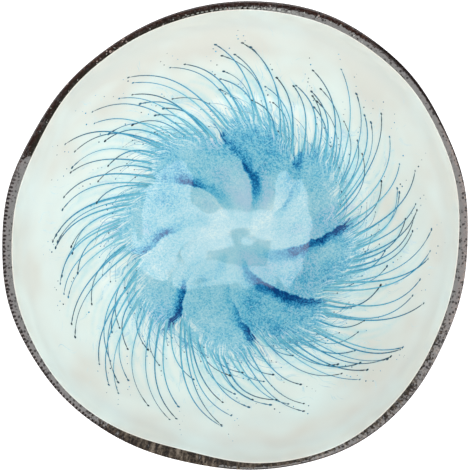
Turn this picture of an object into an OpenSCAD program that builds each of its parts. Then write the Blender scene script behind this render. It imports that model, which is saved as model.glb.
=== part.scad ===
// A bowl made of half a coconut shell: sawn across, sanded thin and flat-footed,
// lined with cream lacquer, with a bloom of blue lacquer poured into the middle.
// The origin is the middle of the flat foot, and +Z points up out of the bowl.

/* [Coconut shell] */
// Mean diameter of the nut at its widest, over the outside
girth_d = 144.4; // [120:0.2:170]
// Height of the rim above the table
rim_h = 58; // [46:0.5:72]
// How far below the nut's widest part it was sawn
saw_drop = 5; // [2:0.5:10]
// Diameter of the flat that is sanded on the bottom
foot_d = 36; // [24:1:48]
// Mean thickness of the shell at the rim
rim_wall = 2.65; // [2:0.05:4]
// Thickness of the shell left over the foot
floor_wall = 2.8; // [2:0.1:4]
// Rounding sanded on the rim's outer edge
rim_round = 0.4; // [0.3:0.1:1]

/* [Outline of the nut] */
// How far the long way of the oval stands out
oval_bulge = 0.7; // [0:0.05:2]
// Direction of the oval's long way
oval_turn = 55; // [0:1:180]
// How far the nut's three blunt corners stand out
corner_bulge = 1.13; // [0:0.01:3]
// Direction of the first of the three corners
corner_turn = 69; // [0:1:120]
// How far the four low swells stand out
swell_bulge = 0.3; // [0:0.05:1]
// Direction of the first low swell
swell_turn = 32; // [0:1:90]
// How far the five faint waves stand out
wave_bulge = 0.17; // [0:0.01:0.5]
// Direction of the first faint wave
wave_turn = 9; // [0:1:72]
// How far the six faint dents go in and out
dent_bulge = 0.15; // [0:0.01:0.5]
// Direction of the first faint dent
dent_turn = 1; // [0:1:60]

/* [Thick and thin of the wall] */
// How much the wall thickens at its four thick places
thick_gain = 0.45; // [0:0.05:0.8]
// Direction of the first thick place
thick_turn = 73; // [0:1:90]
// How much the five smaller swells add
knot_gain = 0.2; // [0:0.05:0.4]
// Direction of the first smaller swell
knot_turn = 37; // [0:1:72]
// How much the seven ripples add
ripple_gain = 0.15; // [0:0.05:0.3]
// Direction of the first ripple
ripple_turn = 0; // [0:1:51]

/* [Lacquer] */
// Thickness of the cream lining
lining_t = 0.5; // [0.3:0.05:1]
// Rounding of the lining where it meets the rim
lining_round = 0.2; // [0.1:0.05:0.25]
// Diameter of the blue bloom over the tips of its petals, seen from above
bloom_d = 78; // [50:1:96]
// How deep the notches between its petals are
petal_notch = 7; // [2:0.5:12]
// How many petals the bloom has
petals = 8; // [4:1:12]
// Direction of the first notch
petal_turn = 10; // [0:1:90]
// How far each petal leans round the bowl: 1 is upright
petal_lean = 1.6; // [1:0.1:2.5]
// How full each petal is: 1 is a plain arch, and less is fuller
petal_full = 0.6; // [0.4:0.1:1]
// Thickness of the blue lacquer in the middle
bloom_t = 0.2; // [0.1:0.05:0.5]

/* [Hidden] */

// Steps round the bowl, and rings from the bottom to the rim
round_steps = 72;
wall_rings = 14;
edge_rings = 3;
bloom_rings = 7;
slope_rings = 9;

bulges = [
    [2, oval_bulge, oval_turn],
    [3, corner_bulge, corner_turn],
    [4, swell_bulge, swell_turn],
    [5, wave_bulge, wave_turn],
    [6, dent_bulge, dent_turn],
];
gains = [
    [4, thick_gain, thick_turn],
    [5, knot_gain, knot_turn],
    [7, ripple_gain, ripple_turn],
];

function sum(v, i = 0) = i < len(v) ? v[i] + sum(v, i + 1) : 0;
function waves(list, a) = sum([for (w = list) w[1] * cos(w[0] * (a - w[2]))]);

// The height of the nut's widest part, and how deep its outside, its inside and the
// lining reach below that. The outside's depth is the one at which the plane of the
// foot, z = 0, cuts a flat of the diameter foot_d.
girth_h = rim_h + saw_drop;
outside_depth = girth_h / cos(asin(foot_d / girth_d));
inside_depth = girth_h - floor_wall;
lining_depth = inside_depth - lining_t;

// Half-widths at the nut's widest, in the direction a
function outside_r(a) = girth_d / 2 + waves(bulges, a);
function inside_r(a) = outside_r(a) - rim_wall - waves(gains, a);
function lining_r(a) = inside_r(a) - lining_t;

// A point of an egg-shaped surface: a is the direction, up the angle from the
// bottom pole, r the half-width and depth the reach below the girth.
function egg(a, up, r, depth) =
    [r * sin(up) * cos(a), r * sin(up) * sin(a), girth_h - depth * cos(up)];
// How far up such a surface lies the height z
function up_at(z, depth) = acos((girth_h - z) / depth);

directions = [for (i = [0 : round_steps - 1]) i * 360 / round_steps];

// Rings of the shell's inside, from the bottom to the rim's plane
inside_rings = [
    for (k = [1 : wall_rings])
        [for (a = directions)
            egg(a, up_at(rim_h, inside_depth) * k / wall_rings, inside_r(a), inside_depth)]
];

// A ring of a rounded edge of radius e, which leaves the wall at the half-width r_of
// and ends flat at the rim: turn runs from 0 at the wall to 90 at the rim, and side
// is 1 where the solid lies outward of the edge and -1 where it lies inward.
function edge_ring(r_of, e, turn, side) =
    [for (a = directions)
        let (r = r_of(a) + side * e * (1 - cos(turn)))
            [r * cos(a), r * sin(a), rim_h - e * (1 - sin(turn))]];

function up_below(e, depth) = up_at(rim_h - e, depth);

// Rings of the shell's outside: the rounded rim edge, then down towards the pole,
// past the plane of the foot
shell_edge_r = function (a) outside_r(a) * sin(up_below(rim_round, outside_depth));
outside_rings = concat(
    [for (k = [0 : edge_rings])
        edge_ring(shell_edge_r, rim_round, 90 - 90 * k / edge_rings, -1)],
    [for (k = [1 : wall_rings])
        let (up = up_below(rim_round, outside_depth) * (1 - k / (wall_rings + 1)))
            [for (a = directions) egg(a, up, outside_r(a), outside_depth)]]
);

// How much of a petal is passed at the direction a, counted from its first notch
function petal_share(a) =
    let (passed = petals * (a - petal_turn) / 360)
        passed - floor(passed);
// The bloom's half-width in the direction a, and how far up the lining that is
function bloom_r(a) =
    bloom_d / 2
    - petal_notch * (1 - pow(sin(180 * pow(petal_share(a), petal_lean)), petal_full));
function bloom_up(a) = asin(bloom_r(a) / lining_r(a));

// Rings of the lining's face: over the bloom, then on up to its rounded edge
lining_edge_r = function (a) lining_r(a) * sin(up_below(lining_round, lining_depth));
bloom_seat_rings = [
    for (k = [1 : bloom_rings])
        [for (a = directions) egg(a, bloom_up(a) * k / bloom_rings, lining_r(a), lining_depth)]
];
slope_top = up_below(lining_round, lining_depth);
lining_face_rings = concat(
    bloom_seat_rings,
    [for (k = [1 : slope_rings - 1])
        [for (a = directions)
            let (up = bloom_up(a) + (slope_top - bloom_up(a)) * k / slope_rings)
                egg(a, up, lining_r(a), lining_depth)]],
    [for (k = [0 : edge_rings]) edge_ring(lining_edge_r, lining_round, 90 * k / edge_rings, 1)]
);

// Rings of the bloom's face, which thins out to nothing at its edge
bloom_face_rings = [
    for (k = [1 : bloom_rings - 1])
        [for (a = directions)
            egg(a, bloom_up(a) * k / bloom_rings, lining_r(a) - bloom_t, lining_depth - bloom_t)]
];

function turned_round(list) = [for (i = [len(list) - 1 : -1 : 0]) list[i]];

// A closed skin over a list of rings, drawn in to the points first and last. Each
// four-sided patch is cut along the same diagonal, from its lower ring to its upper
// one, whichever way the list runs, so that two skins that share rings meet face to face.
module skin(first, rings, last) {
    n = round_steps;
    top = len(rings) - 1;
    points = concat([first], [for (ring = rings) each ring], [last]);
    function at(k, i) = 1 + k * n + i % n;
    faces = concat(
        [for (i = [0 : n - 1]) [0, at(0, i + 1), at(0, i)]],
        [for (k = [0 : top - 1]) for (i = [0 : n - 1])
            each rings[k][0].z < rings[k + 1][0].z
                ? [
                    [at(k, i), at(k, i + 1), at(k + 1, i + 1)],
                    [at(k, i), at(k + 1, i + 1), at(k + 1, i)],
                ]
                : [
                    [at(k, i), at(k, i + 1), at(k + 1, i)],
                    [at(k, i + 1), at(k + 1, i + 1), at(k + 1, i)],
                ]],
        [for (i = [0 : n - 1]) [len(points) - 1, at(top, i), at(top, i + 1)]]
    );
    polyhedron(points, faces);
}

// The half nut: inside, flat rim, rounded outer edge and outside, with the bottom
// cut off flat for the foot
module shell() {
    color("#3d2b22")
        difference() {
            skin(
                [0, 0, girth_h - inside_depth],
                concat(inside_rings, outside_rings),
                [0, 0, girth_h - outside_depth]
            );
            mirror([0, 0, 1]) cylinder(d = girth_d, h = outside_depth);
        }
}

// The cream lacquer on the whole inside of the shell, flush with the rim
module lining() {
    color("#e4e8df")
        skin(
            [0, 0, girth_h - lining_depth],
            concat(lining_face_rings, turned_round(inside_rings)),
            [0, 0, girth_h - inside_depth]
        );
}

// The blue lacquer in the middle, lying on the lining
module bloom() {
    color("#7cb9d6")
        skin(
            [0, 0, girth_h - lining_depth + bloom_t],
            concat(bloom_face_rings, turned_round(bloom_seat_rings)),
            [0, 0, girth_h - lining_depth]
        );
}

shell();
lining();
bloom();
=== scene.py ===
# %% [markdown]
# # A lacquered coconut shell bowl
# The bowl is half of a coconut: sawn across, sanded thin, varnished outside, and lined
# with cream lacquer that has a bloom of blue poured into its middle.
# The lesson builds it in metres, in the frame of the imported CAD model: the origin is the
# middle of the flat foot and +Z points up out of the bowl.
# The CAD solids have the right sizes but wide facets. So each of the three is replaced
# by a finer mesh of the same form, and nothing is made larger than the CAD box.

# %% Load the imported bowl
import math

import bpy
import numpy as np
from mathutils.kdtree import KDTree
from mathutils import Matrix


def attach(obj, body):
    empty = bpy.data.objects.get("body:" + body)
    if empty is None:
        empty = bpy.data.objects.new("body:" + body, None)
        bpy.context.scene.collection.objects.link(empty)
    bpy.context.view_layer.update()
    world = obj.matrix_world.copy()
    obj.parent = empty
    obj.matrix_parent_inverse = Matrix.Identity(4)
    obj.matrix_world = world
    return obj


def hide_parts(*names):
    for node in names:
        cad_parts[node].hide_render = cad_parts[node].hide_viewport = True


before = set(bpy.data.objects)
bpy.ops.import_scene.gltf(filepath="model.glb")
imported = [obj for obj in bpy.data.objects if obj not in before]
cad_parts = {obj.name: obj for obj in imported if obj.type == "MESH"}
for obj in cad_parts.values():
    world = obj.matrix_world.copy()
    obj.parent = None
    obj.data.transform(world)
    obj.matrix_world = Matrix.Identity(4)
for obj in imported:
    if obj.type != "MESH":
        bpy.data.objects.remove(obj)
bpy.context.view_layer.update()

print("CAD nodes:", sorted(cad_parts))

# %% [markdown]
# ## The sizes of the nut
# A coconut isn't round: seen from above it is a blunt triangle with a little oval in it,
# and its wall is thicker in some directions than in others.
# Such an outline could be drawn as a curve through many points. A sum of a few waves
# round the circle is shorter and says more: each wave has a count of swells, a height
# and a direction. The first two tables are the sizes that the CAD source has too. The
# other two are what sanding by hand adds, which is too fine for the CAD solids.

# %% The outline of the nut and its wall
MM = 0.001
NUT_R = 72.2 * MM
RIM_H = 58 * MM
# how far below its widest part the nut was sawn
SAW_DROP = 5 * MM
FOOT_R = 18 * MM
RIM_WALL = 2.65 * MM
FLOOR_WALL = 2.8 * MM
RIM_ROUND = 0.4 * MM
LINING_T = 0.5 * MM
LINING_ROUND = 0.2 * MM
# a hair smaller than the CAD solid, so that the finer mesh stays inside its box
SHRINK = 0.9978
# count of swells round the nut, height in mm, direction of the first in degrees
OUTLINE = ((2, 0.7, 55), (3, 1.13, 69), (4, 0.3, 32), (5, 0.17, 9), (6, 0.15, 1))
WALL = ((4, 0.45, 73), (5, 0.2, 37), (7, 0.15, 0))
HAND_OUTLINE = ((10, 0.06, 21), (11, 0.07, 8), (12, 0.08, 15), (14, 0.08, 14))
HAND_WALL = ((2, 0.13, 12), (3, 0.12, 72), (6, 0.15, 11), (8, 0.1, 28), (12, 0.06, 15))

WIDEST_H = RIM_H + SAW_DROP
OUTSIDE_DEPTH = WIDEST_H / math.cos(math.asin(FOOT_R / NUT_R))
INSIDE_DEPTH = WIDEST_H - FLOOR_WALL
LINING_DEPTH = INSIDE_DEPTH - LINING_T


def waves(table, turn):
    """The sum of the waves in the direction turn, in metres."""
    return sum(
        high * MM * np.cos(count * (turn - math.radians(peak)))
        for count, high, peak in table
    )


def outside_r(turn):
    """The half-width of the nut at its widest part, in the direction turn."""
    return NUT_R * SHRINK + waves(OUTLINE, turn) + waves(HAND_OUTLINE, turn)


def inside_r(turn):
    return outside_r(turn) - RIM_WALL - waves(WALL, turn) - waves(HAND_WALL, turn)


def lining_r(turn):
    return inside_r(turn) - LINING_T


def directions(steps):
    """Directions all round the bowl, evenly spaced."""
    return np.arange(steps) * 2 * math.pi / steps


def across(r_of):
    """How far apart the opposite sides are, on average, in mm."""
    return 2 * float(np.mean(r_of(directions(360)))) / MM


print("mean width in mm:", [round(across(f), 1) for f in (outside_r, inside_r, lining_r)])

# %% [markdown]
# ## Points on an egg
# The outside, the inside and the lacquer are all egg-shaped surfaces, so one function
# gives a point on any of them: turn is the direction round the bowl and up is the angle
# from the bottom pole.
# A modifier such as Screw could spin a profile, but it would give a round bowl. Rings of
# points that are worked out here follow the uneven nut.

# %% Rings of points
def flat_ring(turn, r, z):
    """Points at the half-width r and the height z."""
    return np.stack(np.broadcast_arrays(r * np.cos(turn), r * np.sin(turn), z), axis=-1)


def egg(turn, up, r, depth):
    """Points of an egg-shaped surface that is r wide and depth deep."""
    return flat_ring(turn, r * np.sin(up), WIDEST_H - depth * np.cos(up))


def up_at(height, depth):
    """How far up such a surface a height lies."""
    return math.acos((WIDEST_H - height) / depth)


for face, depth in (("inside", INSIDE_DEPTH), ("lining", LINING_DEPTH)):
    print(face, "bottom at", round((WIDEST_H - depth) / MM, 2), "mm, rim at",
          round(math.degrees(up_at(RIM_H, depth)), 1), "degrees")

# %% [markdown]
# ## A closed skin
# Each piece is a stack of rings with a point at either end, joined by bands of squares and
# a fan of triangles at each end. The rings could be bridged by hand. Code knows their
# order, so a UV map can go with them: its first number runs round the bowl and its
# second is the mark that each ring was given. A material can then follow the wall.

# %% Faces, UV map and mesh of a skin
SHARP_FROM = math.radians(35)


def skin_faces(count, steps):
    """The faces over count rings of steps points each."""
    k, i = (grid.ravel() for grid in np.mgrid[0 : count - 1, 0:steps])
    here, beside = 1 + k * steps + i, 1 + k * steps + (i + 1) % steps
    bands = np.stack([here, here + steps, beside + steps, beside], axis=1)
    i = np.arange(steps)
    top, last = 1 + (count - 1) * steps, 1 + count * steps
    start = np.stack([np.zeros_like(i), 1 + i, 1 + (i + 1) % steps], axis=1)
    end = np.stack([np.full_like(i, last), top + (i + 1) % steps, top + i], axis=1)
    return start.tolist() + bands.tolist() + end.tolist()


def skin_uv(marks, steps):
    """A place in the UV map for each corner of those faces."""
    here, beside = np.arange(steps) / steps, np.arange(1, steps + 1) / steps
    low, high = np.repeat(marks[:-1], steps), np.repeat(marks[1:], steps)
    u = [
        np.stack([here, here, beside], axis=1),
        np.tile(np.stack([here, here, beside, beside], axis=1), (len(marks) - 1, 1)),
        np.stack([here, beside, here], axis=1),
    ]
    v = [
        np.full((steps, 3), marks[0]),
        np.stack([low, high, high, low], axis=1),
        np.full((steps, 3), marks[-1]),
    ]
    return np.stack([np.concatenate([part.ravel() for part in axis]) for axis in (u, v)], axis=1)


def new_object(name, mesh):
    piece = bpy.data.objects.new(name, mesh)
    bpy.context.scene.collection.objects.link(piece)
    return piece


def skin(name, first, rings, last, marks):
    """A closed mesh over rings of points. marks gives each ring's place across."""
    rings, marks = np.asarray(rings), np.asarray(marks, float)
    count, steps = rings.shape[:2]
    points = np.vstack([first, rings.reshape(-1, 3), last])
    mesh = bpy.data.meshes.new(name)
    mesh.from_pydata(points.tolist(), [], skin_faces(count, steps))
    mesh.uv_layers.new(name="wall").data.foreach_set("uv", skin_uv(marks, steps).ravel())
    mesh.shade_smooth()
    mesh.set_sharp_from_angle(angle=SHARP_FROM)
    return new_object(name, mesh)


print("faces over 3 rings of 8 points:", len(skin_faces(3, 8)))

# %% [markdown]
# ## The sawn edge
# The sawn edge is sanded and polished by hand, so it isn't quite flat. On one side it is
# crowned by up to a tenth of a millimetre: it tips inward along its inner edge, and
# outward along its outer edge. On the far side it is flat. That hardly shows as a
# shape, but it decides where the varnish mirrors the lamps. A bump map could fake it,
# but a real crown also holds in the exported mesh.

# %% The crown of the sawn edge
EDGE_TIP = math.radians(3)
CREST_SHARE = 0.84
CROWNED_SIDE = math.radians(47)


def rim_edges(turn):
    """The half-widths of the sawn edge's inner and outer line."""
    inner = inside_r(turn) * math.sin(up_at(RIM_H, INSIDE_DEPTH))
    return inner, outside_r(turn) * math.sin(up_at(RIM_H - RIM_ROUND, OUTSIDE_DEPTH))


def crown_drop(turn, share):
    """How far the sawn edge lies below its crest, at a share of the way across it.

    It tips inward by EDGE_TIP along its inner line, level at the crest, and then outward.
    """
    crowned = np.clip(0.42 + 0.7 * np.cos(turn - CROWNED_SIDE), 0, 1)
    inner, outer = rim_edges(turn)
    # the tip shrinks as 1 - (share / CREST_SHARE) ** 3, and this is its sum up to the crest
    rise = 0.75 * CREST_SHARE - (share - 0.25 * share**4 / CREST_SHARE**3)
    return crowned * EDGE_TIP * (outer - inner) * rise


print("most drop in mm:", round(float(crown_drop(directions(360), 0).max()) / MM, 3))

# %% [markdown]
# ## The nut's seams
# On the outside the nut's three seams stand up as low ridges, which the polishing has
# almost taken off. They could be left out, but they tell that this was a nut. They fade
# out below the rim, so the bowl keeps its size, and above the foot.

# %% The seams
SEAMS = 3
SEAM_RISE = 0.28 * MM
SEAM_HALF_WIDTH = 1.3 * MM
FIRST_SEAM = math.radians(69)
# the angles up the nut, in radians, where a seam starts and ends, and over which it fades
SEAM_START, SEAM_END = 0.3, 1.25
FADE_IN, FADE_OUT = 0.2, 0.35


def seams(turn, up):
    """How far the seams stand out of the shell's outside."""
    ridges = 0
    for k in range(SEAMS):
        off = np.angle(np.exp(1j * (turn - FIRST_SEAM - k * 2 * math.pi / SEAMS)))
        ridges = ridges + np.exp(-((off * NUT_R * math.sin(up) / SEAM_HALF_WIDTH) ** 2))
    fade = np.clip((SEAM_END - up) / FADE_OUT, 0, 1) * np.clip((up - SEAM_START) / FADE_IN, 0, 1)
    return SEAM_RISE * ridges * fade


for up in (0.4, 0.8, 1.2):
    print("seams at", up, "stand out", round(float(seams(FIRST_SEAM, up)) / MM, 2), "mm")

# %% [markdown]
# ## The shell's rings
# The shell is one closed skin: up the inside, over the sawn edge, round its outer corner,
# down the outside, round the softened edge of the foot and over the foot.
# It could be an outside with a Solidify modifier, but then its wall would be even. Here
# both faces have their own rings. They lie close where the form bends and wide elsewhere.

# %% Rings of the inside and of the sawn edge
ROUND_STEPS = 480
# the rings' marks are 0 on the inside, and run from 0 to this over the flat of the edge
FLAT_MARK = 0.8
turns = directions(ROUND_STEPS)


def wall_ring(turn, share, top_up, r, depth):
    """A ring at a share of the way up to a top ring that follows the crowned edge."""
    ring = egg(turn, top_up * share, r, depth)
    ring[:, 2] -= crown_drop(turn, 0) * share**8
    return ring


def inside_rings():
    for share in np.linspace(0.1, 1, 12):
        top_up = up_at(RIM_H, INSIDE_DEPTH)
        yield wall_ring(turns, share, top_up, inside_r(turns), INSIDE_DEPTH), 0


def edge_rings():
    """Over the flat of the edge, and round its corner up to the mark 1."""
    inner, outer = rim_edges(turns)
    flat = outer - inner - RIM_ROUND
    for share in np.linspace(0, 1, 19)[1:]:
        dip = crown_drop(turns, 0.92 * share)
        yield flat_ring(turns, inner + flat * share, RIM_H - dip), FLAT_MARK * share
    for share in np.linspace(0, 1, 9)[1:]:
        bend = share * math.pi / 2
        z = RIM_H - dip * (1 - share) - RIM_ROUND * (1 - math.cos(bend))
        r = inner + flat + RIM_ROUND * math.sin(bend)
        yield flat_ring(turns, r, z), FLAT_MARK + (1 - FLAT_MARK) * share


print("rings so far:", len([*inside_rings(), *edge_rings()]))

# %% Rings of the outside and of the foot
FOOT_SOFTENING = 0.5 * MM
# how far past 2 the marks run round the soft edge of the foot
SOFT_MARK = 0.03


def outside_rings():
    """Down the outside with its seams: the marks run from 1 to 2."""
    edge_up = up_at(RIM_H - RIM_ROUND, OUTSIDE_DEPTH)
    foot_up = up_at(FOOT_SOFTENING * 0.35, OUTSIDE_DEPTH)
    for share in np.linspace(0, 1, 61)[1:]:
        up = edge_up + (foot_up - edge_up) * share
        yield egg(turns, up, outside_r(turns) + seams(turns, up), OUTSIDE_DEPTH), 1 + share


def foot_rings(foot_edge):
    """Round the soft edge and over the flat of the foot: the marks run on towards 3."""
    for share in (0.35, 0.7, 1):
        ring = foot_edge * [1, 1, 0] * (1 - FOOT_SOFTENING * share / FOOT_R)
        ring[:, 2] = foot_edge[:, 2] * (1 - share) ** 2
        yield ring, 2 + SOFT_MARK * share
    for share in np.linspace(1, 0.1, 10)[1:]:
        yield ring * share, 3 - (1 - SOFT_MARK) * share


shell_rings = [*inside_rings(), *edge_rings(), *outside_rings()]
shell_rings += foot_rings(shell_rings[-1][0])
print("rings of the shell:", len(shell_rings))

# %% [markdown]
# ## Make the shell and measure it
# A closed mesh can be measured: the pyramids from the origin to its triangles add up to
# the volume inside. It tests a skin too: the sum is negative if the faces look inward,
# which follows from the order that the rings come in.

# %% The shell
def volume_cm3(piece):
    """The volume that a closed mesh holds. It is negative if the faces look inward."""
    mesh = piece.data
    mesh.calc_loop_triangles()
    co = np.zeros(len(mesh.vertices) * 3)
    mesh.vertices.foreach_get("co", co)
    tris = np.zeros(len(mesh.loop_triangles) * 3, int)
    mesh.loop_triangles.foreach_get("vertices", tris)
    a, b, c = np.moveaxis(co.reshape(-1, 3)[tris.reshape(-1, 3)], 1, 0)
    return float(np.einsum("ij,ij->i", a, np.cross(b, c)).sum()) / 6 * 1e6


def measure(piece):
    print(piece.name, "faces:", len(piece.data.polygons), "cm3:", round(volume_cm3(piece), 3))


rings, marks = zip(*shell_rings)
shell = skin("shell_of_the_nut", [0, 0, WIDEST_H - INSIDE_DEPTH], rings, [0, 0, 0], marks)
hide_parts("shell")
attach(shell, "root")
measure(shell)

# %% [markdown]
# ## The lining
# The cream lacquer is poured in and swilled round, so it follows the shell. Just below
# the rim it thins, and ends in a small rounded edge. It is built like the shell, and its
# back is the surface that it lies on. It has twice as many steps round, because its mesh
# also carries a fine pattern of stains.

# %% The lining's rings
RIM_UP = up_at(RIM_H - LINING_ROUND, LINING_DEPTH)
EDGE_THINNING = 0.25 * MM
THINNED_SHARE = 0.06
# the face's marks run from 0 to 1, and these are the rounded edge's and the back's
EDGE_MARK, BACK_MARK = 1.01, 1.02
fine_turns = directions(2 * ROUND_STEPS)


def lining_rings():
    """The lacquer's face from the bottom up, its rounded edge, and its back down again."""
    for share in np.linspace(0, 1, 181)[1:]:
        thinning = EDGE_THINNING * max(0, 1 - (1 - share) / THINNED_SHARE) ** 2
        r = lining_r(fine_turns) + thinning
        yield wall_ring(fine_turns, share, RIM_UP, r, LINING_DEPTH), share
    edge = (lining_r(fine_turns) + EDGE_THINNING) * math.sin(RIM_UP)
    for bend in np.radians([30, 60, 90]):
        r = edge + LINING_ROUND * (1 - math.cos(bend))
        z = RIM_H - crown_drop(fine_turns, 0) - LINING_ROUND * (1 - math.sin(bend))
        yield flat_ring(fine_turns, r, z), EDGE_MARK
    for share in np.linspace(1, 0.1, 10):
        top_up = up_at(RIM_H, INSIDE_DEPTH)
        yield wall_ring(fine_turns, share, top_up, inside_r(fine_turns), INSIDE_DEPTH), BACK_MARK


rings, marks = zip(*lining_rings())
lining = skin(
    "cream_lining", [0, 0, WIDEST_H - LINING_DEPTH], rings,
    [0, 0, WIDEST_H - INSIDE_DEPTH], marks,
)
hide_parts("lining")
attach(lining, "root")
measure(lining)

# %% [markdown]
# ## The poured bloom
# The blue is poured into the middle afterwards, and spun while it is wet. It thins out
# to nothing at its edge, in eight petals that lean round the bowl.
# A flat disc would look printed. This one is a film with a thickness, and the film isn't
# even: slow swells in it bend what it mirrors, as they do in real poured lacquer.

# %% The bloom's outline and thickness
BLOOM_R = 39 * MM
PETAL_NOTCH = 7 * MM
PETALS = 8
PETAL_TURN = math.radians(10)
PETAL_LEAN = 1.6
PETAL_FULL = 0.6
BLOOM_T = 0.2 * MM
# the film's mean thickness in its middle, as a share of the CAD solid's
EVEN_SHARE = 0.75
# share of the thickness, length in mm and direction in degrees of each swell
SWELLS = ((0.17, 21, 15), (0.13, 16, 80), (0.12, 13, 140), (0.06, 8, 50), (0.05, 7, 110))


def bloom_r(turn):
    """The bloom's half-width in the direction turn."""
    share = (PETALS * (turn - PETAL_TURN) / (2 * math.pi)) % 1
    arch = np.sin(math.pi * share**PETAL_LEAN).clip(0) ** PETAL_FULL
    return BLOOM_R - PETAL_NOTCH * (1 - arch)


def film(points, share):
    """The film's thickness at points, at a share of the way out to its edge."""
    swell = 1
    for k, (high, length, degrees) in enumerate(SWELLS):
        ahead = math.radians(degrees)
        way = points[:, 0] * math.cos(ahead) + points[:, 1] * math.sin(ahead)
        swell = swell + high * np.sin(2 * math.pi * way / (length * MM) + 2 * k)
    return BLOOM_T * math.sqrt(1 - share**6) * swell * EVEN_SHARE


print("mean width of the bloom in mm:", round(across(bloom_r), 1))

# %% The bloom
def bloom_rings():
    """The film's back from the bottom to its edge, and its face back down.

    The other skins begin with their upper face, and this one with its back. So its faces
    look inward, and its volume is printed as negative.
    """
    r = lining_r(turns)
    edge_up = np.arcsin(bloom_r(turns) / r)
    for share in np.linspace(0.1, 1, 10):
        yield egg(turns, edge_up * share, r, LINING_DEPTH), 1
    for share in np.linspace(1, 0, 71)[1:-1]:
        thick = film(egg(turns, edge_up * share, r, LINING_DEPTH), share)
        yield egg(turns, edge_up * share, r - thick, LINING_DEPTH - thick), share


rings, marks = zip(*bloom_rings())
bottom = WIDEST_H - LINING_DEPTH
middle = [0, 0, bottom + float(film(np.zeros((1, 3)), 0)[0])]
bloom = skin("blue_bloom", [0, 0, bottom], rings, middle, marks)
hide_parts("bloom")
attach(bloom, "root")
measure(bloom)

# %% [markdown]
# ## The spun strokes
# When the bowl is spun, the blue runs outward from the petals in fine strokes. Each
# one swings the way that the petals lean, and ends in a drop. Smaller drops lie beyond.
# They could be painted as a texture. As thin raised strokes they stay sharp
# at any distance, and catch the light as real lacquer does.
# A stroke is worked out as a line on the lining: a turn and a half-width for each point.

# %% Points and lines on the lining
# how far a stroke's end hooks round, in radians, and how much of its reach that takes
HOOK_TURN = 0.16
HOOK_SHARE = 0.08


def on_lining(turn, r):
    """Points on the lining's face at the half-width r, and the way up out of it."""
    wide = lining_r(turn)
    up = np.arcsin(np.clip(r / wide, 0, 0.999))
    points = egg(turn, up, wide, LINING_DEPTH)
    down = points - [0, 0, WIDEST_H]
    normals = -down / np.stack([wide**2, wide**2, np.full_like(wide, LINING_DEPTH**2)], axis=-1)
    return points, normals / np.linalg.norm(normals, axis=-1, keepdims=True)


def stroke(turn, start, reach, swing, hook, steps):
    """A line from the bloom's edge. swing bends it evenly, and hook bends its end."""
    share = np.linspace(0, 1, steps)
    r = start + (reach - start) * (share - HOOK_SHARE * hook * share**4)
    return turn + swing * np.log(r / start) + hook * HOOK_TURN * share**4, r


(by_the_bloom,), _ = on_lining(np.zeros(1), np.array([BLOOM_R]))
print("height of the lining at the bloom's edge in mm:", round(by_the_bloom[2] / MM, 1))

# %% [markdown]
# ## Where the strokes run
# Even rays would look drawn with a ruler. So each stroke starts at an even place moved a
# little by chance, and a slow wave round the bowl makes neighbours reach and swing
# alike. Every third one stops early. A crowd of short ones frays the petals' edge.
# The chance comes from a generator with a seed, so the bowl is the same each time.

# %% Long and short strokes
rng = np.random.default_rng(7)
LONG_STROKES = 132
SHORT_STROKES = 260
# how far out the tips of the strokes and of the sunk ones lie on average, in mm
MEAN_REACH, SUNK_REACH = 60, 54
SWING = 0.55
FARTHEST = 65.5 * MM
SLOW_COUNTS = (2, 3, 5, 7, 11)


def slow_wave(turn, seed):
    """A slow wave round the bowl, between about -1 and 1."""
    starts = np.random.default_rng(seed).uniform(0, 2 * math.pi, len(SLOW_COUNTS))
    total = 0
    for k, (count, start) in enumerate(zip(SLOW_COUNTS, starts)):
        total += math.cos(count * turn + start) / (1 + 0.25 * k)
    return float(total / 2.5)


def spaced(k, count):
    """The kth of count directions round the bowl, moved a little by chance."""
    return (k + rng.uniform(-0.4, 0.4)) * 2 * math.pi / count


def long_stroke(k):
    turn = spaced(k, LONG_STROKES)
    start = float(bloom_r(turn)) * rng.uniform(0.93, 1.0)
    reach = (MEAN_REACH + 5 * slow_wave(turn, 3) + rng.normal(0, 3)) * MM
    if k % 3 == 1:
        reach = start + (reach - start) * rng.uniform(0.45, 0.75)
    reach = min(max(reach, start + 5 * MM), FARTHEST - 2 * MM)
    swing = SWING + 0.18 * slow_wave(turn, 5) + rng.normal(0, 0.05)
    hook = rng.uniform(0.5, 1.2)
    return {
        "line": stroke(turn, start, reach, swing, hook, 30),
        "wide": rng.uniform(0.45, 0.75) * MM,
        "drop": rng.uniform(0.6, 1.0) * MM,
        "ink": rng.uniform(0.0, 0.35),
    }


def short_stroke(k):
    turn = spaced(k, SHORT_STROKES)
    start = float(bloom_r(turn)) * rng.uniform(0.96, 1.0)
    reach = start + rng.uniform(2, 9) * MM
    return {
        "line": stroke(turn, start, reach, rng.uniform(0.3, 0.7), rng.uniform(0, 1), 12),
        "wide": rng.uniform(0.2, 0.34) * MM,
        "drop": rng.uniform(0.3, 0.55) * MM,
        "ink": rng.uniform(-0.3, 0.2),
    }


strokes = [long_stroke(k) for k in range(LONG_STROKES)]
strokes += [short_stroke(k) for k in range(SHORT_STROKES)]
print("strokes:", len(strokes))

# %% [markdown]
# ## Low ridges and round drops
# A stroke of lacquer stands up as a low ridge, and a drop as a low dome. A bevelled
# curve would make a round tube that half hangs in the air. A ridge of three faces is
# lower and lighter, and its floor is sunk just under the lining's face, so that no
# gap shows from the side.

# %% A ridge and a drop
SINK = 0.03 * MM
RIDGE_RISE = 0.12
DROP_STEPS = 12
# a drop's height at its shoulder and at its top, as shares of its width
SHOULDER_RISE, DROP_RISE = 0.09, 0.13
TIP_LENGTH = 1.35


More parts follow.
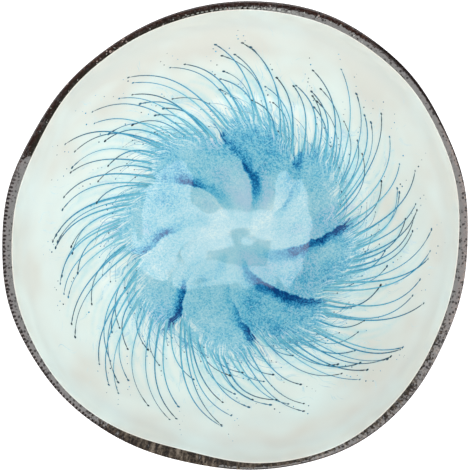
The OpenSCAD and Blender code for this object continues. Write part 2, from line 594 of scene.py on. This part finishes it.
def ridge(line, widths, lift):
    """The points and faces of one stroke: a three-sided ridge."""
    points, normals = on_lining(*line)
    sideways = np.cross(normals, np.gradient(points, axis=0))
    sideways /= np.linalg.norm(sideways, axis=1, keepdims=True)
    half = sideways * widths[:, None] / 2
    top = points + normals * (RIDGE_RISE * widths[:, None] + lift)
    rows = np.stack([points - half - normals * SINK, top, points + half - normals * SINK], axis=1)
    last = 3 * len(points) - 1
    faces = [
        [3 * k + i, 3 * k + 3 + i, 3 * k + 3 + (i + 1) % 3, 3 * k + (i + 1) % 3]
        for k in range(len(points) - 1)
        for i in range(3)
    ]
    return rows.reshape(-1, 3), faces + [[0, 1, 2], [last, last - 1, last - 2]]


def drop(turn, r, size, long, lean=0.0):
    """The points and faces of one drop. lean turns its long axis away from straight out."""
    (centre,), (normal,) = on_lining(np.array([turn]), np.array([r]))
    out = np.array([math.cos(turn), math.sin(turn), 0])
    out -= normal * out.dot(normal)
    out /= np.linalg.norm(out)
    along = out * math.cos(lean) + np.cross(normal, out) * math.sin(lean)
    beside = np.cross(normal, along)
    points = [centre - normal * SINK]
    for share, lift in ((1, -0.6 * SINK), (0.62, SHOULDER_RISE * size)):
        for bend in directions(DROP_STEPS):
            across_it = along * math.cos(bend) * long + beside * math.sin(bend)
            points.append(centre + across_it * size / 2 * share + normal * lift)
    points.append(centre + normal * DROP_RISE * size)
    faces = []
    for i in range(DROP_STEPS):
        a, b = 1 + i, 1 + (i + 1) % DROP_STEPS
        top = 2 * DROP_STEPS + 1
        faces += [[0, b, a], [a, b, b + DROP_STEPS, a + DROP_STEPS]]
        faces.append([a + DROP_STEPS, b + DROP_STEPS, top])
    return np.array(points), faces


def tip_drop(line, size):
    """The drop that a stroke ends in. It is longest the way that the stroke runs."""
    turn, r = line
    lean = math.atan2(r[-1] * (turn[-1] - turn[-3]), r[-1] - r[-3])
    return drop(turn[-1], r[-1], size, TIP_LENGTH, lean)


print("faces of a drop:", len(drop(0, BLOOM_R, MM, TIP_LENGTH)[1]))

# %% [markdown]
# ## Width and depth of colour
# A stroke gets its width from a rule: thin where it rises out of the bloom, broad just
# after, thin in the middle, and swelling to a drop at its tip. Its depth of colour
# follows another rule and is kept as an attribute, called ink, which its material turns
# into a colour. Strokes that cross are lifted by different amounts to keep them apart.

# %% The strokes' mesh
LIFT = 0.03 * MM
LIFTS = 5


def widths_along(s, share):
    body = s["wide"] * (0.75 + 0.9 * (1 - share) ** 3)
    tip = 0.75 * s["drop"] * np.exp(-(((share - 0.96) / 0.03) ** 2))
    closing = np.clip((1.006 - share) / 0.03, 0.15, 1)
    rising = np.clip(0.3 + share / 0.08, 0, 1)
    return np.maximum(body, tip) * closing * rising


def ink_along(s, share):
    return 0.1 + s["ink"] * np.clip(0.25 + 3 * share, 0, 1) + 0.6 * share**2.2


class Heap:
    """Gathers small meshes into one, with an ink value for each point."""

    def __init__(self):
        self.points, self.faces, self.ink, self.count = [], [], [], 0

    def add(self, points, faces, ink):
        self.points.append(points)
        self.faces += [[v + self.count for v in face] for face in faces]
        self.ink.append(np.broadcast_to(ink, len(points)))
        self.count += len(points)

    def piece(self, name):
        mesh = bpy.data.meshes.new(name)
        mesh.from_pydata(np.vstack(self.points).tolist(), [], self.faces)
        ink = mesh.attributes.new("ink", "FLOAT", "POINT")
        ink.data.foreach_set("value", np.concatenate(self.ink).astype(np.float32))
        mesh.shade_smooth()
        return new_object(name, mesh)


heap = Heap()
for k, s in enumerate(strokes):
    share = np.linspace(0, 1, len(s["line"][0]))
    ink = ink_along(s, share)
    lift = LIFT * (k % LIFTS) / (LIFTS - 1)
    heap.add(*ridge(s["line"], widths_along(s, share), lift), np.repeat(ink, 3))
    heap.add(*tip_drop(s["line"], s["drop"]), ink[-1])
print("points of the strokes:", heap.count)

# %% [markdown]
# ## Drops beyond the tips
# Beyond a long stroke lie up to three small drops that were flung off its tip. Each is
# farther out than the one before, and mostly smaller.

# %% The small drops, and the piece
def flung_drops(line):
    """The drops beyond one stroke, each with its ink."""
    turn, r = line[0][-1], line[1][-1]
    gap = 0.3 * MM
    for n in range(rng.integers(0, 4)):
        gap += rng.uniform(0.8, 1.9) * MM
        size = rng.uniform(0.3, 0.62) * MM * (1 - 0.18 * n)
        where = turn + rng.normal(0, 0.006) + 0.9 * gap / r
        if r + gap < FARTHEST:
            yield drop(where, r + gap, size, rng.uniform(1, 1.5)), rng.uniform(0.4, 1)


drops = 0
for s in strokes[:LONG_STROKES]:
    for small_drop, ink in flung_drops(s["line"]):
        heap.add(*small_drop, ink)
        drops += 1
spun = heap.piece("spun_strokes")
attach(spun, "root")
print("drops:", drops)
measure(spun)

# %% [markdown]
# ## Where the blue bleeds into the cream
# Round every stroke the cream takes up a little blue, so there is a pale halo. Between
# the strokes lie fainter ones that sank in altogether and left only their stain.
# How near each point of the lining is to a stroke is found with a KD-tree, a table
# that answers such questions quickly, and kept on the mesh as an attribute.

# %% The halo attribute
HALO_WIDTH = 0.8 * MM
SUNK_STROKES = 90
# how much fainter a halo is at its stroke's tip, and how many line points stain a place
TIP_FADE = 0.45
NEAREST = 6


def sunk_line(k):
    turn = spaced(k, SUNK_STROKES)
    start = float(bloom_r(turn))
    reach = min(SUNK_REACH + 5 * slow_wave(turn, 3) + rng.normal(0, 4), 62) * MM
    return stroke(turn, start, reach, 0.5, 0.8, 30)


lines = [s["line"] for s in strokes[:LONG_STROKES]]
lines += [sunk_line(k) for k in range(SUNK_STROKES)]
nearby = KDTree(sum(len(line[0]) for line in lines))
strengths = []
for line in lines:
    points, _ = on_lining(*line)
    for share, point in zip(np.linspace(0, 1, len(points)), points):
        nearby.insert(point, len(strengths))
        strengths.append(1 - TIP_FADE * share)
nearby.balance()
halo = np.zeros(len(lining.data.vertices), np.float32)
for vertex in lining.data.vertices:
    for _, index, distance in nearby.find_n(vertex.co, NEAREST):
        halo[vertex.index] += 0.3 * strengths[index] * math.exp(-((distance / HALO_WIDTH) ** 2))
lining.data.attributes.new("halo", "FLOAT", "POINT").data.foreach_set("value", halo)
print("mean halo:", round(float(halo.mean()), 3), "most:", round(float(halo.max()), 2))

# %% [markdown]
# ## A small language for materials
# A material here is a graph of nodes. A few helpers keep the graphs readable: add makes a
# node and wires its inputs, calc does a step of arithmetic, and the others are steps that
# many graphs need. They all work on the graph that is named tree at the time, so a
# material's first line names its own.

# %% Nodes and arithmetic
def new_material(name):
    """A material, its graph and its main shader."""
    mat = bpy.data.materials.new(name)
    mat.use_nodes = True
    return mat, mat.node_tree, mat.node_tree.nodes["Principled BSDF"]


def wire(value, socket):
    if isinstance(value, bpy.types.NodeSocket):
        tree.links.new(value, socket)
    else:
        socket.default_value = value


def add(kind, inputs=(), **settings):
    """A new node. An input that is a socket is linked, and any other is set."""
    node = tree.nodes.new("ShaderNode" + kind)
    for key, value in settings.items():
        setattr(node, key, value)
    for key, value in dict(inputs).items():
        wire(value, node.inputs[key])
    return node


def calc(operation, *values, clamp=False):
    """One step of arithmetic on numbers or sockets."""
    return add("Math", enumerate(values), operation=operation, use_clamp=clamp).outputs[0]


def plus(first, second):
    return calc("ADD", first, second)


def minus(first, second):
    return calc("SUBTRACT", first, second)


def times(first, second):
    return calc("MULTIPLY", first, second)


def share_of(part, whole):
    return calc("DIVIDE", part, whole)


def power(value, exponent):
    return calc("POWER", value, exponent)


def larger(first, second):
    return calc("MAXIMUM", first, second)


def times_plus(value, factor, more):
    return calc("MULTIPLY_ADD", value, factor, more)


def centred(value, spread):
    """A noise of 0 to 1, turned into one that is spread wide and has its middle at 0."""
    return times_plus(value, spread, -spread / 2)


def smooth(value, low, high, to_low=0.0, to_high=1.0):
    """Eases from to_low to to_high as value goes from low to high."""
    ends = {"From Min": low, "From Max": high, "To Min": to_low, "To Max": to_high}
    node = add("MapRange", {"Value": value, **ends}, interpolation_type="SMOOTHSTEP")
    return node.outputs["Result"]


# %% Places, noise and colour
def object_place():
    return add("TexCoord").outputs["Object"]


def wall_place():
    """The UV map's two numbers: the share of the way round, and the ring's mark."""
    parts = add("SeparateXYZ", {0: add("UVMap", uv_map="wall").outputs[0]})
    return parts.outputs[0], parts.outputs[1]


def round_the_bowl(turn, height):
    """A place for a texture that runs round the bowl without a join."""
    parts = {0: calc("COSINE", turn), 1: calc("SINE", turn), 2: height}
    return add("CombineXYZ", parts).outputs[0]


def noise(place, scale, detail=2.0, rough=0.5):
    settings = {"Vector": place, "Scale": scale, "Detail": detail, "Roughness": rough}
    return add("TexNoise", settings).outputs["Fac"]


def paint(red, green, blue):
    """A colour for a socket, from sRGB values of 0 to 255."""
    shares = [c / 255 for c in (red, green, blue)]
    return [c / 12.92 if c <= 0.04045 else ((c + 0.055) / 1.055) ** 2.4 for c in shares] + [1]


def ramp(value, stops):
    """A colour scale. Each stop is a place and an sRGB colour of 0 to 255."""
    node = add("ValToRGB", {"Fac": value})
    scale = node.color_ramp
    while len(scale.elements) < len(stops):
        scale.elements.new(0.5)
    for element, (place, colour) in zip(scale.elements, stops):
        element.position = place
        element.color = paint(*colour)
    return node.outputs["Color"]


def blend(share, first, second):
    """Mixes two colours."""
    node = add("Mix", data_type="RGBA")
    wire(share, node.inputs["Factor"])
    wire(first, node.inputs[6])
    wire(second, node.inputs[7])
    return node.outputs[2]


print("a grey of 128 reflects a share of", round(paint(128, 128, 128)[0], 3))

# %% [markdown]
# ## The blue as a group
# The bloom and the lining show the same blue: it runs over the bloom's edge into the
# cream. So the pattern is one node group that both materials use.
# It works in polar coordinates. The direction is turned more the nearer a point
# is to the middle, which winds the petals into a whirl. Past the notches between the
# petals it goes on as the strokes do. Noise keeps both from looking drawn.

# %% Places in the whirl
WHIRL = math.radians(48)
blue_whirl = bpy.data.node_groups.new("blue whirl", "ShaderNodeTree")
for name, kind in (("Colour", "NodeSocketColor"), ("Amount", "NodeSocketFloat")):
    blue_whirl.interface.new_socket(name, in_out="OUTPUT", socket_type=kind)
tree = blue_whirl
spot = object_place()
parts = add("SeparateXYZ", {0: spot})
x, y = parts.outputs[0], parts.outputs[1]
r = calc("SQRT", times_plus(x, x, times(y, y)))
turn = calc("ARCTAN2", y, x)


def petal_share(direction):
    """How far across its petal a direction lies, from 0 to 1."""
    start = minus(direction, PETAL_TURN)
    return calc("FRACT", times_plus(start, PETALS / (2 * math.pi), 2.0 * PETALS))


# how far out a point is, as a share of the bloom's own half-width there
arch = calc("SINE", times(math.pi, power(petal_share(turn), PETAL_LEAN)))
arch = power(larger(arch, 0.0), PETAL_FULL)
reach = share_of(r, times_plus(arch, PETAL_NOTCH, BLOOM_R - PETAL_NOTCH))

# the wound direction, and the share across a petal that it gives
passed = share_of(r, BLOOM_R - PETAL_NOTCH)
inner = times_plus(calc("MINIMUM", passed, 1.0), -WHIRL, WHIRL)
outer = calc("LOGARITHM", larger(passed, 1.0), math.e)
wound = plus(turn, times_plus(outer, -SWING, inner))
wound = plus(wound, centred(noise(spot, 55.0, 2.0), 0.5))
ragged = noise(spot, 420.0, 3.0, 0.6)
share = petal_share(plus(wound, centred(ragged, 0.12)))
print("nodes for places:", len(tree.nodes))

# %% [markdown]
# Pigment settles in the crease between two petals: one side of a crease is a soft shade,
# and the other a sharp line. The creases start a little way out from the middle, and some
# are deeper than others.

# %% Creases between the petals
wide = times(r, 2 * math.pi / PETALS / MM)
soft_side = smooth(times(minus(1.0, share), wide), 0.0, 5.5, 1.0, 0.0)
sharp_side = smooth(times(share, wide), 0.0, 0.9, 1.0, 0.0)
crease = larger(power(soft_side, 1.3), sharp_side)
crease = times(crease, smooth(reach, 0.1, 0.6))
how_deep = smooth(noise(spot, 75.0, 1.0), 0.38, 0.62, 0.25, 1.0)
crease = times(crease, how_deep)
print("nodes with the creases:", len(tree.nodes))

# %% [markdown]
# The blue is pale round the middle and deeper farther out. It curdles into grains, as
# heavy pigment does, it is thick in some places and thin in others, and it is streaked
# where it was spun. Along the petals' edge it is combed into pale hairs, and here and
# there a faint violet shows where it is thin.
# All of that is added up to one tone, and a colour scale turns the tone into blues.

# %% The tone and colour of the blue
streak = noise(round_the_bowl(wound, times(r, 9.0)), 34.0, 2.0, 0.6)
hairs = noise(round_the_bowl(wound, times(r, 2.2)), 80.0, 1.0)
grains = add("TexVoronoi", {"Vector": spot, "Scale": 2600.0}).outputs["Color"]
grains = add("SeparateXYZ", {0: grains}).outputs[0]
clouds = noise(spot, 130.0, 3.0, 0.55)
thickness = noise(spot, 26.0, 1.0)

tone = smooth(reach, 0.1, 0.75, 0.2, 0.42)
tone = plus(tone, smooth(reach, 0.74, 0.98, 0.0, 0.04))
tone = plus(tone, smooth(reach, 0.0, 0.3, 0.12, 0.0))
tone = times_plus(crease, 0.56, tone)
tone = plus(tone, smooth(reach, 0.97, 1.2, 0.0, -0.4))
tone = plus(tone, centred(clouds, 0.55))
tone = plus(tone, centred(streak, 0.2))
curdled = smooth(reach, 0.15, 0.8, 0.16, 0.34)
tone = times_plus(minus(grains, 0.5), curdled, tone)
combed = times(smooth(hairs, 0.5, 0.62), smooth(reach, 0.84, 1.02))
tone = times_plus(combed, -0.5, tone)
tone = plus(tone, centred(thickness, 0.7))

colour = ramp(tone, [
    (0.0, (216, 235, 235)), (0.2, (174, 216, 228)), (0.42, (141, 203, 220)),
    (0.6, (88, 179, 211)), (0.8, (28, 127, 181)), (1.0, (6, 64, 124)),
])
violet = smooth(noise(spot, 62.0, 2.0), 0.54, 0.68, 0.0, 0.4)
violet = times(violet, smooth(tone, 0.3, 0.55, 1.0, 0.0))
colour = blend(violet, colour, paint(180, 194, 226))
print("nodes with the colour:", len(tree.nodes))

# %% [markdown]
# The group also says how much blue there is: all of it on the bloom, and past the
# bloom's edge a comb of fine streaks that run out into the cream.

# %% How far the blue reaches
uneven = times(streak, smooth(hairs, 0.35, 0.6, 1.4, 0.5))
spread = times_plus(power(uneven, 2.0), 1.1, 0.04)
spill = share_of(minus(reach, 0.97), spread)
out = tree.nodes.new("NodeGroupOutput")
tree.links.new(colour, out.inputs["Colour"])
tree.links.new(smooth(spill, 0.0, 1.0, 1.0, 0.0), out.inputs["Amount"])


def use_blue():
    """The group's colour and amount, as sockets of the material at hand."""
    node = tree.nodes.new("ShaderNodeGroup")
    node.node_tree = blue_whirl
    return node.outputs["Colour"], node.outputs["Amount"]


print("nodes in the blue pattern:", len(blue_whirl.nodes))

# %% [markdown]
# ## Lacquer
# Cured lacquer is a smooth, clear layer over colour, so it mirrors lamps sharply while
# its colour stays matt beneath. A Principled shader with a low roughness does both.
# Its skin isn't perfect: it has slow waves from pouring, and faint dust.

# %% The gloss of lacquer
DUST_RISE = 0.001 * MM


def lacquer_skin(shader, waviness):
    """Gloss with slow waves, waviness high, and a little dust."""
    place = object_place()
    slow = noise(place, 110.0, 1.0)
    dust = noise(place, 1500.0, 2.0, 0.6)
    height = times_plus(dust, DUST_RISE / waviness, slow)
    bump = add("Bump", {"Strength": 1.0, "Distance": waviness, "Height": height})
    shader.inputs["Roughness"].default_value = 0.05
    shader.inputs["IOR"].default_value = 1.6
    tree.links.new(bump.outputs[0], shader.inputs["Normal"])
    return place


blue_lacquer, tree, shader = new_material("blue lacquer")
lacquer_skin(shader, 0.3 * MM)
blue, _ = use_blue()
tree.links.new(blue, shader.inputs["Base Color"])
bloom.data.materials.append(blue_lacquer)
print(blue_lacquer.name, "on", bloom.name)

# %% [markdown]
# ## The cream
# The cream isn't one colour. It is cool low on the wall and warmer towards the rim, and
# cooler on one side than on the other. The halo stains it a little blue round each
# stroke, and the mottle breaks the stain up. One flat colour would look like plastic.

# %% Cream lacquer
COOLER_SIDE = math.radians(225)
cream_lacquer, tree, shader = new_material("cream lacquer")
spot = lacquer_skin(shader, 0.06 * MM)
round_share, up_share = wall_place()
tint = smooth(up_share, 0.4, 0.8, -0.25, 0.25)
facing = calc("COSINE", minus(times(round_share, 2 * math.pi), COOLER_SIDE))
cooler = smooth(up_share, 0.7, 0.85, -0.22, -0.08)
tint = times_plus(smooth(facing, -0.1, 0.5), cooler, tint)
cream = ramp(plus(tint, noise(spot, 45.0, 2.0)), [
    (0.25, (228, 239, 233)), (0.5, (225, 230, 222)), (0.75, (220, 216, 205)),
])
stain = add("Attribute", attribute_name="halo").outputs["Fac"]
mottle = noise(spot, 700.0, 3.0, 0.7)
stain = times(stain, smooth(mottle, 0.3, 0.7, 0.45, 1.0))
stain = calc("MULTIPLY", stain, 0.95, clamp=True)
cream = blend(stain, cream, paint(128, 211, 224))
# near the rim the cream is greyed a little: painted shade
painted_rim_shade = smooth(up_share, 0.8, 1.0, 0.0, 0.1)
cream = blend(painted_rim_shade, cream, paint(116, 118, 110))
blue, amount = use_blue()
tree.links.new(blend(amount, cream, blue), shader.inputs["Base Color"])
lining.data.materials.append(cream_lacquer)
print(cream_lacquer.name, "on", lining.name, "with", len(tree.nodes), "nodes")

# %% [markdown]
# ## The strokes' colour
# The ink attribute is the place on a colour scale: pale blue where a stroke leaves the
# bloom, almost black in the drops. A little noise keeps the scale from showing. The
# strokes are too narrow to mirror a lamp whole, so their gloss is softer.

# %% Stroke lacquer
stroke_lacquer, tree, shader = new_material("stroke lacquer")
shader.inputs["Roughness"].default_value = 0.15
ink = add("Attribute", attribute_name="ink").outputs["Fac"]
ink = plus(ink, centred(noise(object_place(), 900.0), 0.5))
blues = ramp(ink, [
    (0.1, (130, 202, 219)), (0.32, (88, 180, 210)), (0.55, (42, 144, 184)),
    (0.8, (24, 86, 114)), (1.0, (18, 44, 56)),
])
tree.links.new(blues, shader.inputs["Base Color"])
spun.data.materials.append(stroke_lacquer)
print(stroke_lacquer.name, "on", spun.name)

# %% [markdown]
# ## Coconut shell
# The shell is hard and dark brown, with short pale flecks that run from pole to pole,
# fine pores, and clear varnish over all of it. On the sawn edge the pores are cut
# across and show as pits. A pit breaks the smooth varnish: its sides mirror
# other things than the flat round it, so it looks dark where the edge is bright and
# bright where the edge is dark. Only a bump does that, as colour alone can't.
# The edge differs from side to side, so its patterns are held in by soft masks.

# %% Places and masks on the shell
nut_shell, tree, shader = new_material("varnished coconut shell")
spot = object_place()
round_share, cross = wall_place()
turn = times(round_share, 2 * math.pi)
on_rim = smooth(cross, 0.99, 1.02, 1.0, 0.0)


def side(centre, half, soft):
    """1 within half of the direction centre and 0 beyond half + soft, all in degrees."""
    off = calc("COSINE", minus(turn, math.radians(centre)))
    return smooth(off, math.cos(math.radians(half + soft)), math.cos(math.radians(half)))


coarse_side = side(259, 10, 24)
mottled_side = side(305, 24, 16)
painted_glint_side = side(112, 42, 8)
print("nodes for the masks:", len(tree.nodes))

# %% [markdown]
# The pores near the outer edge lie in a row, one to each degree, because the nut's fibres
# stood side by side. A shorter row lies near the inner edge, and there the lining's
# cream has run into it, as into some strewn pores beside it.

# %% Rows of pores
def pore_row(count, at, long, wide):
    """A row of pores round the edge: their count, place across and half-sizes."""
    passed = times(round_share, float(count))
    jitter = add("TexWhiteNoise", {"W": calc("FLOOR", passed)},
                 noise_dimensions="1D").outputs["Value"]
    along = minus(calc("FRACT", passed), times_plus(jitter, 0.3, 0.35))
    across_row = minus(cross, times_plus(jitter, -0.1, at))
    squares = [
        power(share_of(off, half), 2.0)
        for off, half in ((along, long), (across_row, wide))
    ]
    return smooth(calc("SQRT", plus(*squares)), 0.7, 1.1, 1.0, 0.0)


pore = times(pore_row(360, 0.8, 0.31, 0.19), side(202, 32, 12))
filled = times(pore_row(300, 0.24, 0.34, 0.09), side(90, 12, 4))
wander = noise(round_the_bowl(turn, 0.0), 22.0, 1.0)
strewn = pore_row(110, times_plus(wander, 1.9, -0.65), 0.06, 0.09)
filled = larger(filled, times(strewn, side(104, 44, 6)))
print("nodes with the pores:", len(tree.nodes))

# %% [markdown]
# Loose pits are scattered over the edge, larger in two places. They come from a Voronoi
# pattern, whose cells each hold one pit of a size left to chance. On one side some are
# painted pale: painted glints.

# %% Loose pits
cells = add("TexVoronoi", {"Vector": spot, "Scale": 1000.0}, voronoi_dimensions="2D")
chance = add("SeparateXYZ", {0: cells.outputs["Color"]})
pitted_side = larger(side(216, 18, 16), side(343, 16, 16))
size = times_plus(pitted_side, 0.25, chance.outputs[0])
size = plus(size, centred(noise(spot, 170.0, 1.0), 1.2))
size = smooth(size, 0.45, 1.1, 0.0, 0.42)
pit = smooth(minus(size, cells.outputs["Distance"]), 0.0, 0.08)
pit = times(pit, on_rim)
# some pits on one side are painted pale: painted glints
painted_glint_pits = times(smooth(chance.outputs[1], 0.66, 0.9), painted_glint_side)
painted_glint_pits = times(pit, painted_glint_pits)
hollow = larger(pore, pit)
print("nodes with the pits:", len(tree.nodes))

# %% [markdown]
# Varnish only mirrors where it lies smooth. Where the cut stayed rough it drank its
# varnish and is dull: all over the side where the saw cut through coarse fibres, in
# patches on the mottled one, most of all along its inner edge, and in a few places
# elsewhere. It is dull too in a band along the outer edge, and that band's colour is
# darkened as well: a painted dark reflection.

# %% Fibres and dull places
fibre_place = round_the_bowl(turn, times(cross, 0.012))
fibre = noise(fibre_place, 62.0, 2.0, 0.55)
patch = noise(spot, 1700.0, 3.0, 0.6)
grain = times_plus(minus(fibre, patch), coarse_side, patch)
inner_edge = smooth(cross, 0.1, 0.75, 0.17, 0.04)
outer_dashes = times(side(279, 10, 8), smooth(cross, 0.5, 0.7))
dull = times_plus(coarse_side, 0.32, grain)
dull = times_plus(outer_dashes, -0.24, dull)
dull = plus(dull, times(mottled_side, inner_edge))
dull = times_plus(side(313, 3, 6), 0.06, dull)
dull = times(smooth(dull, 0.62, 0.7), on_rim)
# a dull band along the outer edge, whose colour is also darkened: a painted dark reflection
# the band widens to one side
dull_band_and_painted_reflection = times_plus(side(48, 4, 20), 0.2, cross)
dull_band_and_painted_reflection = plus(dull_band_and_painted_reflection, centred(patch, 0.5))
dull_band_and_painted_reflection = times(side(35, 17, 6), smooth(dull_band_and_painted_reflection, 0.77, 0.85, 0.0, 0.85))
dull = larger(dull, times(dull_band_and_painted_reflection, on_rim))
print("nodes with the dull places:", len(tree.nodes))

# %% [markdown]
# The colours are mixed from a few noises: broad ones for the light and dark of the nut,
# and fine ones for flecks. Outside, the noise is stretched along the wall, because the
# flecks are the cut ends of long fibres. The edge is a shade of its own on each side.

# %% The colour of the outside and of the edge
speck = noise(spot, 1300.0, 3.0, 0.75)
broad = noise(spot, 38.0, 3.0, 0.6)
fine = noise(spot, 900.0, 3.0, 0.7)
fleck_place = round_the_bowl(turn, times(cross, 0.22))
fleck = noise(fleck_place, 70.0, 4.0, 0.7)
outside_tone = times_plus(fleck, 0.9, times_plus(broad, 0.45, -0.18))
outside_tone = plus(outside_tone, centred(fine, 0.4))
outside_colour = ramp(outside_tone, [
    (0.3, (30, 18, 13)), (0.48, (52, 32, 22)), (0.6, (82, 54, 36)), (0.78, (140, 104, 70)),
])

paler = times(side(355, 26, 16), smooth(cross, 0.2, 0.7, 0.3, 1.0))
rim_tone = times_plus(speck, 1.1, times_plus(broad, 0.25, -0.23))
rim_tone = plus(rim_tone, smooth(cross, 0.2, 1.0, -0.04, 0.08))
rim_tone = times_plus(paler, 0.18, rim_tone)
# the band along the outer edge is painted darker: a painted dark reflection
rim_tone = times_plus(dull_band_and_painted_reflection, -0.4, rim_tone)
rim_colour = ramp(rim_tone, [
    (0.3, (24, 14, 12)), (0.45, (41, 26, 22)), (0.6, (58, 40, 34)), (0.8, (100, 78, 64)),
])
# the edge is greyed and greened along its inner line: painted shade beside the lining
painted_shade_by_the_lining = smooth(cross, 0.05, 0.6, 0.6, 0.0)
rim_colour = blend(painted_shade_by_the_lining, rim_colour, paint(38, 42, 34))
streaked = ramp(times_plus(fibre, 1.3, times_plus(speck, 0.9, -0.6)), [
    (0.3, (20, 16, 12)), (0.45, (42, 35, 28)), (0.6, (72, 63, 53)), (0.8, (112, 102, 90)),
])
khaki_side = larger(coarse_side, times(mottled_side, 0.7))
rim_colour = blend(khaki_side, rim_colour, streaked)

shell_colour = blend(on_rim, outside_colour, rim_colour)
shell_colour = blend(times(hollow, 0.9), shell_colour, paint(20, 14, 12))
# the pale pits are painted glints
shell_colour = blend(painted_glint_pits, shell_colour, paint(160, 140, 132))
shell_colour = blend(filled, shell_colour, paint(132, 134, 128))
tree.links.new(shell_colour, shader.inputs["Base Color"])
print("nodes with the colour:", len(tree.nodes))

# %% [markdown]
# The wood under the varnish is matt, so the varnish is a coat over it: the shader's
# second, clear layer. The pores and dull places break the coat, and it is thinner on
# the rounded corner and the outside. A varnish has an index of about 1.5. The coat's
# is higher, because the edge then mirrors the lamps as strongly as the real one.

# %% The shell's varnish and relief
RELIEF = 0.09 * MM
matt = smooth(speck, 0.35, 0.75, 0.45, 0.7)
tree.links.new(matt, shader.inputs["Roughness"])
shader.inputs["Specular IOR Level"].default_value = 0.0
broken = larger(larger(pore, times(pit, 0.8)), dull)
thinner = smooth(cross, 0.82, 0.96, 1.0, 0.5)
coat = times(times_plus(broken, -0.92, 1.0), thinner)
tree.links.new(coat, shader.inputs["Coat Weight"])
shader.inputs["Coat Roughness"].default_value = 0.012
shader.inputs["Coat IOR"].default_value = 1.85
ripple = times(noise(spot, 1100.0, 1.0), side(60, 50, 30))
relief = times_plus(hollow, -1.0, times(ripple, 0.1))
relief = times_plus(times(dull, fibre), -0.6, relief)
bump = add("Bump", {"Strength": 1.0, "Distance": RELIEF, "Height": relief})
for name in ("Normal", "Coat Normal"):
    tree.links.new(bump.outputs[0], shader.inputs[name])
shell.data.materials.append(nut_shell)
print("nodes in the shell's material:", len(tree.nodes))

# %% [markdown]
# ## The table
# The bowl stands on a bright white table that lights it from below too. A plain white
# floor would be greyed by the bowl's shadow, so it glows a little as well. It lies a
# hair below the foot, so that the two faces don't fight over the same place.

# %% A white table
TABLE_HALF = 6.0
TABLE_DROP = 0.02 * MM
corners = [(x * TABLE_HALF, y * TABLE_HALF, 0) for x, y in ((-1, -1), (1, -1), (1, 1), (-1, 1))]
table_mesh = bpy.data.meshes.new("table")
table_mesh.from_pydata(corners, [], [(0, 1, 2, 3)])
table = new_object("table", table_mesh)
table.location.z = -TABLE_DROP
white_table, tree, shader = new_material("white table")
shader.inputs["Base Color"].default_value = (0.9, 0.9, 0.9, 1)
shader.inputs["Roughness"].default_value = 0.7
shader.inputs["Emission Color"].default_value = (1, 1, 1, 1)
shader.inputs["Emission Strength"].default_value = 0.6
table_mesh.materials.append(white_table)
print("table in metres:", [round(s, 1) for s in table.dimensions])

# %% [markdown]
# ## Softboxes
# Lacquer shows what it mirrors. Point lamps would leave hard dots in it, so softboxes
# hang overhead: wide, even panels that show as pale shapes with clear edges. Two ovals
# hang far to the sides, and five panels leave a gap in the middle for the lens. They
# hang higher than the camera, and it doesn't see them itself.

# %% The lamps
LAMP_H = 0.9
BOX_LIGHT = 2.6


def softbox(name, low, high, radiance, shape="RECTANGLE"):
    """A softbox that hangs over the bowl, from one corner to the other, in metres."""
    light = bpy.data.lights.new(name, "AREA")
    light.shape = shape
    light.size, light.size_y = high[0] - low[0], high[1] - low[1]
    area = light.size * light.size_y * (math.pi / 4 if shape == "ELLIPSE" else 1)
    light.energy = radiance * math.pi * area
    lamp = new_object(name, light)
    lamp.location = ((low[0] + high[0]) / 2, (low[1] + high[1]) / 2, RIM_H + LAMP_H)
    lamp.visible_camera = False
    print(name, "has", round(light.energy, 2), "watts")


softbox("right softbox", (0.37, -0.76), (1.0, 0.36), BOX_LIGHT, "ELLIPSE")
softbox("left softbox", (-0.62, -0.55), (-0.22, 0.38), BOX_LIGHT, "ELLIPSE")
softbox("right of the lens", (0.01, -0.2), (0.385, 0.075), BOX_LIGHT)
softbox("beside the right softbox", (0.25, 0.075), (0.385, 0.2), BOX_LIGHT)
softbox("left of the lens", (-0.23, -0.2), (-0.075, 0.05), BOX_LIGHT)
softbox("in front of the lens", (-0.075, -0.2), (0.01, -0.05), BOX_LIGHT)
softbox("behind the lens", (-0.28, 0.2), (0.5, 0.38), BOX_LIGHT * 0.8)

# %% [markdown]
# ## The light tent
# Round all this stands a tent of white cloth, bright low down and dark above. Its
# pale walls fill the steep sides of the bowl. It needs no mesh: the world's own
# colour, which depends on the direction, does the same.

# %% The tent
TENT_TOP = 0.04
TENT_WALL = 2.1
tent = bpy.data.worlds.new("light tent")
tent.use_nodes = True
tree = tent.node_tree
way = add("SeparateXYZ", {0: add("TexCoord").outputs["Generated"]})
bright = smooth(way.outputs[2], 0.34, 0.8, TENT_WALL, TENT_TOP)
# the tent's near wall is a little brighter than the others
lean = times_plus(way.outputs[0], -0.06, times_plus(way.outputs[1], -0.17, 1.0))
background = tree.nodes["Background"]
background.inputs["Color"].default_value = (0.97, 0.98, 1, 1)
tree.links.new(times(bright, lean), background.inputs["Strength"])
bpy.context.scene.world = tent
bpy.context.scene.view_settings.view_transform = "Standard"
print("the tent's wall is", round(TENT_WALL / TENT_TOP), "times as bright as its top")

# %% [markdown]
# ## The camera
# The photograph looks straight down, so the inside shows all the way up to the rim and
# the outside is hidden. The lens could be set by eye. It is worked out here from two
# sizes, the distance to the rim and the width of the picture there.

# %% The camera
CAMERA_ABOVE_RIM = 0.7
FRAME_WIDTH = 143.9 * MM
# the middle of the picture, which isn't quite the middle of the foot
FRAME_MIDDLE = (-0.88 * MM, 0.70 * MM)
camera = new_object("camera", bpy.data.cameras.new("camera"))
camera.location = (*FRAME_MIDDLE, RIM_H + CAMERA_ABOVE_RIM)
camera.data.sensor_width = 36
camera.data.lens = camera.data.sensor_width * CAMERA_ABOVE_RIM / FRAME_WIDTH
bpy.context.scene.camera = camera
print("lens in mm:", round(camera.data.lens, 1))
